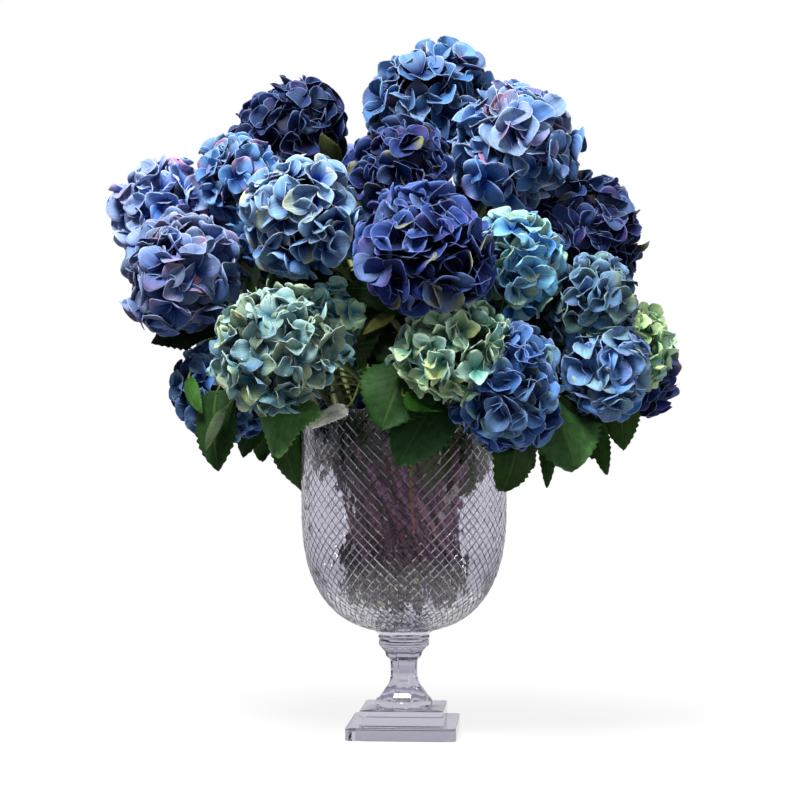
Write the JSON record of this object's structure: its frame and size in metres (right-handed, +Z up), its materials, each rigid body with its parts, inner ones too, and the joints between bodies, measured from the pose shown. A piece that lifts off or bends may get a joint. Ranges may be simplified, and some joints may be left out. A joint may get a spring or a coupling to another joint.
{
  "type": "hydrangeas in a vase",
  "caption": "Wide bunch of blue, lilac and pale green hydrangea heads with toothed leaves, standing in a footed cut-glass vase on a square stepped foot.",
  "frame": {"origin": "middle of the underside of the vase's square foot", "axes": "+Z up along the vase's axis, -Y towards the side that the picture shows, +X to its right"},
  "size_m": [0.7838, 0.6892, 0.9491],
  "materials": {
    "cut_glass": "polished",
    "leafy_stem": "satin",
    "bare_stem": "matte",
    "petals_aqua": "matte",
    "petals_cornflower": "matte",
    "petals_denim": "matte",
    "petals_lilac": "matte",
    "petals_lime": "matte",
    "petals_navy": "matte",
    "petals_pale": "matte",
    "petals_sage": "matte",
    "petals_sky": "matte",
    "petals_slate": "matte",
    "petals_teal": "matte"
  },
  "bodies": {
    "root": {"vase_bowl": "cut_glass", "vase_foot": "cut_glass", "head_top": "petals_denim", "stem_top": "bare_stem", "head_top_right": "petals_sky", "stem_top_right": "bare_stem", "head_upper_left": "petals_navy", "stem_upper_left": "leafy_stem", "head_crown": "petals_navy", "stem_crown": "bare_stem", "head_front": "petals_navy", "stem_front": "leafy_stem", "head_pale_left": "petals_pale", "stem_pale_left": "bare_stem", "head_far_left_upper": "petals_lilac", "stem_far_left_upper": "bare_stem", "head_far_left_lower": "petals_lilac", "stem_far_left_lower": "leafy_stem", "head_small_left": "petals_sky", "stem_small_left": "bare_stem", "head_green_left": "petals_aqua", "stem_green_left": "leafy_stem", "head_green_small": "petals_aqua", "stem_green_small": "bare_stem", "head_green_front": "petals_sage", "stem_green_front": "leafy_stem", "head_right_dark": "petals_navy", "stem_right_dark": "bare_stem", "head_right_teal": "petals_teal", "stem_right_teal": "bare_stem", "head_right_slate": "petals_slate", "stem_right_slate": "bare_stem", "head_right_blue": "petals_denim", "stem_right_blue": "leafy_stem", "head_low_blue": "petals_cornflower", "stem_low_blue": "leafy_stem", "head_right_lime": "petals_lime", "stem_right_lime": "leafy_stem", "head_right_rear": "petals_navy", "stem_right_rear": "leafy_stem", "head_left_low": "petals_cornflower", "stem_left_low": "leafy_stem", "head_back_top": "petals_sky", "stem_back_top": "bare_stem", "head_back_top_right": "petals_navy", "stem_back_top_right": "bare_stem", "head_back_top_left": "petals_denim", "stem_back_top_left": "bare_stem", "head_back_right_middle": "petals_lilac", "stem_back_right_middle": "bare_stem", "head_back_left_middle": "petals_navy", "stem_back_left_middle": "bare_stem", "head_back_right": "petals_pale", "stem_back_right": "leafy_stem", "head_back_left": "petals_aqua", "stem_back_left": "leafy_stem", "head_back_left_low": "petals_cornflower", "stem_back_left_low": "leafy_stem", "head_back_right_low": "petals_sage", "stem_back_right_low": "leafy_stem"}
  },
  "joints": []
}
